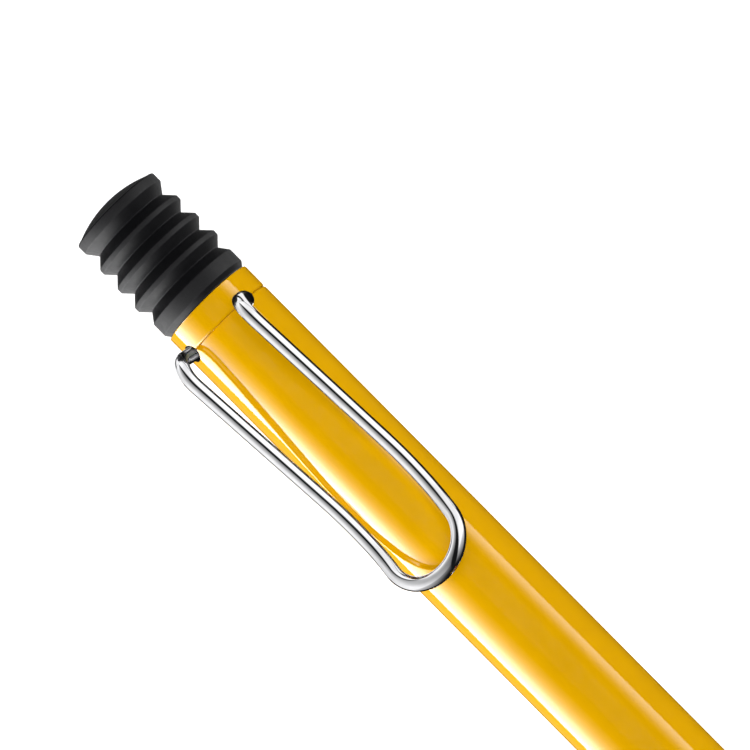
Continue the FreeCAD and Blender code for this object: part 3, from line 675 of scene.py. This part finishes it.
def bent_run(points):
    """Points along straight runs joined by tangent arcs, for one side of the clip."""
    path = [Vector(points[0][:3])]
    for index in range(1, len(points) - 1):
        corner = Vector(points[index][:3])
        incoming = (corner - Vector(points[index - 1][:3])).normalized()
        outgoing = (Vector(points[index + 1][:3]) - corner).normalized()
        turn = incoming.angle(outgoing)
        bend = points[index][3]
        start = corner - incoming * bend * math.tan(turn / 2)
        inward = (outgoing - incoming * math.cos(turn)).normalized()
        steps = max(4, int(math.degrees(turn) / DEGREES_PER_STEP))
        for step in range(steps + 1):
            angle = turn * step / steps
            path.append(start + incoming * bend * math.sin(angle)
                        + inward * bend * (1 - math.cos(angle)))
    path.append(Vector(points[-1][:3]))
    return path


def tube(name, path, radius, material, segments=40):
    """A round wire along a path, with rounded ends."""
    bm = bmesh.new()
    tangents = []
    for index in range(len(path)):
        before = path[max(index - 1, 0)]
        after = path[min(index + 1, len(path) - 1)]
        tangents.append((after - before).normalized())
    across = tangents[0].orthogonal().normalized()
    frames = []
    for index, tangent in enumerate(tangents):
        across = (across - tangent * across.dot(tangent)).normalized()
        frames.append((path[index], across.copy(), tangent.cross(across), radius))
    ends = []
    for outward, (place, side, other, width) in ((-tangents[0], frames[0]),
                                                 (tangents[-1], frames[-1])):
        caps = []
        for angle in np.radians(END_ANGLES):
            caps.append((place + outward * width * END_FLATNESS * math.sin(angle),
                         side, other, width * math.cos(angle)))
        ends.append(caps)
    rings = []
    for place, side, other, width in ends[0][::-1] + frames + ends[1]:
        rings.append([
            bm.verts.new(at(*(place + side * width * math.cos(turn)
                              + other * width * math.sin(turn))))
            for turn in np.linspace(0, 2 * math.pi, segments, endpoint=False)
        ])
    skin_rings(bm, rings, False)
    bm.faces.new(rings[0])
    bm.faces.new(rings[-1])
    return finish_mesh(bm, name, material, math.radians(60))


def make_clip():
    near = bent_run(CLIP_POINTS)
    middle = Vector((near[-1].x, 0, near[-1].z))
    outward = Vector((math.cos(LOOP_RISE), 0, math.sin(LOOP_RISE))) * LOOP_R
    loop = [
        middle + Vector((0, LOOP_R * math.cos(angle), 0)) + outward * math.sin(angle)
        for angle in np.linspace(0, math.pi, 61)[1:-1]
    ]
    far = [Vector((point.x, -point.y, point.z)) for point in reversed(near)]
    clip = tube("clip_wire", near + loop + far, WIRE_R, WIRE)
    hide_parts("pocket_clip")
    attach(clip, "clip")
    clip.visible_glossy = False
    clip.visible_shadow = False
    return clip


# ---------------------------------------------------------------------- grip

GRIP_RIBS = 6
GRIP_BORE = 4.9
GRIP_R = 6.2
GRIP_FRONT_R = 5.85
GRIP_WAIST = 0.45
# Parts of a rib's length at which its land ends and its groove is deepest.
GRIP_LAND = 0.75
GRIP_GROOVE = 0.87
GRIP_GROOVE_DEPTH = 0.3
GRIP_SHIFT = 0.02


def make_grip():
    """The waisted rubber grip, with a groove behind each rib."""
    low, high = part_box("grip_sleeve")
    start = (low.x - REAR) / MM
    end = (high.x - REAR) / MM
    length = end - start
    corners = [(start, GRIP_BORE)]
    for rib in range(GRIP_RIBS):
        for along in (rib / GRIP_RIBS, (rib + GRIP_LAND) / GRIP_RIBS):
            taper = (GRIP_R - GRIP_FRONT_R) * along
            crest = GRIP_R - taper - GRIP_WAIST * 4 * along * (1 - along)
            corners.append((start + along * length + GRIP_SHIFT, crest, 0.16))
        corners.append((start + (rib + GRIP_GROOVE) / GRIP_RIBS * length,
                        crest - GRIP_GROOVE_DEPTH, 0.1))
    corners += [(end, GRIP_FRONT_R, 0.15), (end, GRIP_BORE)]
    grip = lathe("grip_skin", rounded(corners), GRIP_RUBBER, 192)
    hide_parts("grip_sleeve")
    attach(grip, "front")


bellows_skin = make_bellows()
collar_shell = make_collar()
barrel_shell = make_barrel()
clip_wire = make_clip()
make_grip()


# -------------------------------------------------------------------- camera

FRAME_WIDTH = 89.3 * MM
TILT = math.radians(5.0)
ROLL = math.radians(14.8)
LENS = 600
SENSOR = 36
LOOK_STATION = -0.48
LOOK_ALONG = 20.59 * MM
LOOK_ACROSS = 8.09 * MM
IMAGE_TURN = math.radians(45.23)

toward = Vector((math.sin(TILT),
                 math.cos(TILT) * math.sin(ROLL),
                 math.cos(TILT) * math.cos(ROLL)))
along = (Vector((1, 0, 0)) - toward * toward.x).normalized()
across = toward.cross(along)
right = along * math.cos(IMAGE_TURN) + across * math.sin(IMAGE_TURN)
up = across * math.cos(IMAGE_TURN) - along * math.sin(IMAGE_TURN)
look_at = at(LOOK_STATION, 0, 0) + along * LOOK_ALONG + across * LOOK_ACROSS
camera = bpy.data.objects.new("camera", bpy.data.cameras.new("camera"))
bpy.context.scene.collection.objects.link(camera)
camera.data.lens = LENS
camera.data.sensor_width = SENSOR
from_pencil = toward * FRAME_WIDTH * LENS / SENSOR
camera.matrix_world = Matrix.Translation(look_at + from_pencil) @ Matrix((
    (right.x, up.x, toward.x, 0),
    (right.y, up.y, toward.y, 0),
    (right.z, up.z, toward.z, 0),
    (0, 0, 0, 1),
))
bpy.context.scene.camera = camera


# ------------------------------------------------------------ floor and light

# Lengths in metres.
FLOOR_GLOW = 1.05
FLOOR_HALF = 3.0
BACKDROP_REACH = 9.0
CARD_REACH = 0.45
CARD_LENGTH = 1.4
CARD_STRIPS = 240
RUBBER_REACH = 0.55
WIRE_REACH = 0.62
ROOM_REACH = 0.7


def make_floor():
    bm = bmesh.new()
    bmesh.ops.create_grid(bm, x_segments=1, y_segments=1, size=FLOOR_HALF)
    material, shader = new_material("floor", (0.5, 0.5, 0.5), 0.9)
    paper = noise(material, 40, 3.0)
    link(material, spread(material, paper, 0.2, 0.8, (0.48, 0.48, 0.48), (0.52, 0.52, 0.52)),
         shader.inputs["Base Color"])
    shader.inputs["Emission Color"].default_value = (1, 1, 1, 1)
    shader.inputs["Emission Strength"].default_value = FLOOR_GLOW
    shader.inputs["Specular IOR Level"].default_value = 0.0
    floor = finish_mesh(bm, "floor", material)
    floor.visible_glossy = False
    floor.visible_shadow = False


def make_backdrop():
    """A pale shell far around the floor, so that low views see no dark horizon."""
    bm = bmesh.new()
    bmesh.ops.create_uvsphere(bm, u_segments=64, v_segments=32, radius=BACKDROP_REACH)
    mesh = bpy.data.meshes.new("backdrop")
    bm.to_mesh(mesh)
    bm.free()
    material, shader = new_material("backdrop", (0.5, 0.5, 0.5), 0.9)
    cloud = noise(material, 3, 2.0)
    link(material, spread(material, cloud, 0.3, 0.7, (0.96, 0.96, 0.96), (1, 1, 1)),
         shader.inputs["Emission Color"])
    shader.inputs["Emission Strength"].default_value = FLOOR_GLOW
    mesh.materials.append(material)
    backdrop = bpy.data.objects.new("backdrop", mesh)
    bpy.context.scene.collection.objects.link(backdrop)
    backdrop.visible_diffuse = False
    backdrop.visible_glossy = False
    backdrop.visible_shadow = False


def linked(thing, receivers, state):
    """Lets a light shine only on some pieces, or on everything but them."""
    group = bpy.data.collections.new(thing.name + "_receivers")
    for receiver in receivers:
        group.objects.link(receiver)
    for member in group.collection_objects:
        member.light_linking.link_state = state
    thing.light_linking.receiver_collection = group


def reflected_shell(name, vertices, faces, glow, receivers, state):
    """A glowing, see-through shell that is seen only in reflections."""
    mesh = bpy.data.meshes.new(name)
    mesh.from_pydata(vertices, [], faces)
    values = mesh.attributes.new("glow", "FLOAT", "POINT")
    values.data.foreach_set("value", np.array(glow, np.float32))
    material = bpy.data.materials.new(name)
    material.use_nodes = True
    material.node_tree.nodes.clear()
    level = add_node(material, "ShaderNodeAttribute", attribute_name="glow")
    emission = add_node(material, "ShaderNodeEmission")
    clear = add_node(material, "ShaderNodeBsdfTransparent")
    both = add_node(material, "ShaderNodeAddShader")
    output = add_node(material, "ShaderNodeOutputMaterial")
    link(material, level.outputs["Fac"], emission.inputs["Strength"])
    link(material, emission.outputs["Emission"], both.inputs[0])
    link(material, clear.outputs["BSDF"], both.inputs[1])
    link(material, both.outputs["Shader"], output.inputs["Surface"])
    mesh.materials.append(material)
    shell = bpy.data.objects.new(name, mesh)
    bpy.context.scene.collection.objects.link(shell)
    shell.visible_camera = False
    shell.visible_diffuse = False
    shell.visible_shadow = False
    linked(shell, receivers, state)


def card(name, stops):
    """A long strip bent about the pencil, which the plastic and the rubber reflect.

    The stops are (zenith angle in degrees, glow); angles towards +Y are positive.
    """
    angles = np.linspace(stops[0][0], stops[-1][0], CARD_STRIPS + 1)
    glow = stops_at(stops, angles)
    vertices = []
    for angle in np.radians(angles):
        for x in (-CARD_LENGTH / 2, CARD_LENGTH / 2):
            vertices.append((x, CARD_REACH * math.sin(angle),
                             AXIS_Z + CARD_REACH * math.cos(angle)))
    faces = [(2 * row, 2 * row + 1, 2 * row + 3, 2 * row + 2) for row in range(len(angles) - 1)]
    reflected_shell(name, vertices, faces, np.repeat(glow, 2),
                    [clip_wire, bellows_skin], "EXCLUDE")


def room_glow(zenith, along):
    """Glow that fades towards both ends of the pencil."""
    return stops_at(ROOM_GLOW, abs(zenith)) * (1 - 0.5 * abs(along))


def dome(name, receivers, state, glow_towards, reach, rings=120, segments=240):
    """A sphere about the pencil that only some pieces reflect."""
    vertices = []
    glow = []
    for along in np.linspace(0, math.pi, rings + 1):
        for angle in np.linspace(-math.pi, math.pi, segments, endpoint=False):
            ring = math.sin(along)
            x = -math.cos(along)
            direction = Vector((x, ring * math.sin(angle), ring * math.cos(angle)))
            vertices.append(direction * reach + Vector((0, 0, AXIS_Z)))
            glow.append(glow_towards(math.degrees(angle), x))
    faces = []
    for row in range(rings):
        for turn in range(segments):
            start = row * segments
            after = (turn + 1) % segments
            faces.append((start + turn, start + after,
                          start + segments + after, start + segments + turn))
    reflected_shell(name, vertices, faces, glow, receivers, state)


# Glow by zenith angle, and its share by the direction's part along the pencil.
WIRE_GLOW = [(-180, 0), (-114, 0), (-108, 1.0), (-65, 1.1), (-46, 0.88), (-30, 0.62), (-14, 0.42),
             (-2, 0.26), (3, 0.15), (6, 0.0), (30, 0.0), (34, 0.5), (38, 1.0), (45, 1.2),
             (100, 1.2), (108, 1.0), (114, 0.05), (120, 0), (180, 0)]
WIRE_SHARE = [(-1, 1), (-0.93, 0.95), (-0.74, 0.8), (-0.5, 0.8), (-0.2, 0.95), (0.25, 1.0),
              (0.42, 0.5), (0.7, 0.25), (0.87, 0.08), (0.97, 0), (1, 0)]
# Glow below the pencil, by the direction's part along it.
WIRE_LOW_GLOW = [(-1, 1), (-0.87, 1), (-0.85, 0), (-0.72, 0), (-0.7, 1), (-0.3, 1), (-0.24, 0),
                 (1, 0)]
WIRE_LOW_FROM = 114
RUBBER_GLOW = [(-180, 0.1), (-150, 0.6), (-130, 1.3), (-105, 4), (-85, 6.8), (-68, 6.7),
               (-50, 4.6), (-34, 3.0), (-10, 1.5), (15, 0.9), (41, 0.8), (65, 1.4), (85, 2.4),
               (105, 1.8), (122, 1.0), (160, 0.2), (180, 0.1)]
RUBBER_LOW_GLOW = [(0, 0), (125, 0), (150, 0.15), (180, 0.15)]
RUBBER_LEFT_SHARE = [(-1, 0.02), (-0.45, 0.03), (-0.25, 0.5), (-0.1, 1.4), (0.15, 1.4),
                     (0.4, 1.1), (0.75, 1.15), (0.95, 0.3), (1, 0.15)]
RUBBER_RIGHT_SHARE = [(-1, 0.02), (-0.45, 0.03), (-0.25, 0.7), (-0.1, 2.0), (0.15, 2.0),
                      (0.4, 0.1), (1, 0.08)]
ROOM_GLOW = [(0, 0.3), (60, 0.8), (90, 1.0), (110, 0.6), (180, 0.35)]


def stops_at(stops, place):
    return np.interp(place, [stop[0] for stop in stops], [stop[1] for stop in stops])


def wire_glow(zenith, along):
    if abs(zenith) > WIRE_LOW_FROM and along < 0:
        return stops_at(WIRE_LOW_GLOW, along)
    return stops_at(WIRE_GLOW, zenith) * stops_at(WIRE_SHARE, along)


def rubber_glow(zenith, along):
    share = RUBBER_LEFT_SHARE if zenith < 0 else RUBBER_RIGHT_SHARE
    below = stops_at(RUBBER_LOW_GLOW, abs(zenith))
    return stops_at(RUBBER_GLOW, zenith) * stops_at(share, along) + below


def soft_light(name, direction, distance, size, power):
    """A square light that lights surfaces but isn't mirrored in them."""
    light = bpy.data.lights.new(name, "AREA")
    light.shape = "SQUARE"
    light.size = size
    light.energy = power
    lamp = bpy.data.objects.new(name, light)
    bpy.context.scene.collection.objects.link(lamp)
    direction = Vector(direction).normalized()
    lamp.location = Vector((0, 0, AXIS_Z)) + direction * distance
    lamp.rotation_euler = direction.to_track_quat("Z", "Y").to_euler()
    lamp.visible_glossy = False


def over_axis(angle):
    """A direction square to the pencil, at an angle from straight up."""
    return (0, math.sin(math.radians(angle)), math.cos(math.radians(angle)))


make_floor()
card("left_card", [(-140, 0.25), (-101.6, 0.25), (-101, 17), (-90, 14.5), (-77, 11.2),
                   (-65, 5.8), (-54, 2.7), (-44, 1.05), (-34, 0.35), (-27, 0)])
card("right_card", [(54, 0), (60, 0.3), (65, 1.0), (72, 2.8), (80, 4.4), (85.5, 4.4)])
dome("wire_dome", [clip_wire], "INCLUDE", wire_glow, WIRE_REACH)
dome("rubber_dome", [bellows_skin], "INCLUDE", rubber_glow, RUBBER_REACH)
dome("room_dome", [clip_wire, bellows_skin, collar_shell, barrel_shell,
                   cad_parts["front_section"]], "EXCLUDE", room_glow, ROOM_REACH)
make_backdrop()
soft_light("top_light", over_axis(18), 1.2, 1.0, 16.9)
soft_light("left_light", over_axis(-85), 1.0, 0.7, 15.8)

world = bpy.data.worlds.new("world")
world.use_nodes = True
background = world.node_tree.nodes["Background"]
background.inputs["Color"].default_value = (0.9, 0.95, 1.0, 1)
background.inputs["Strength"].default_value = 0.01
bpy.context.scene.world = world
bpy.context.scene.view_settings.view_transform = "Standard"
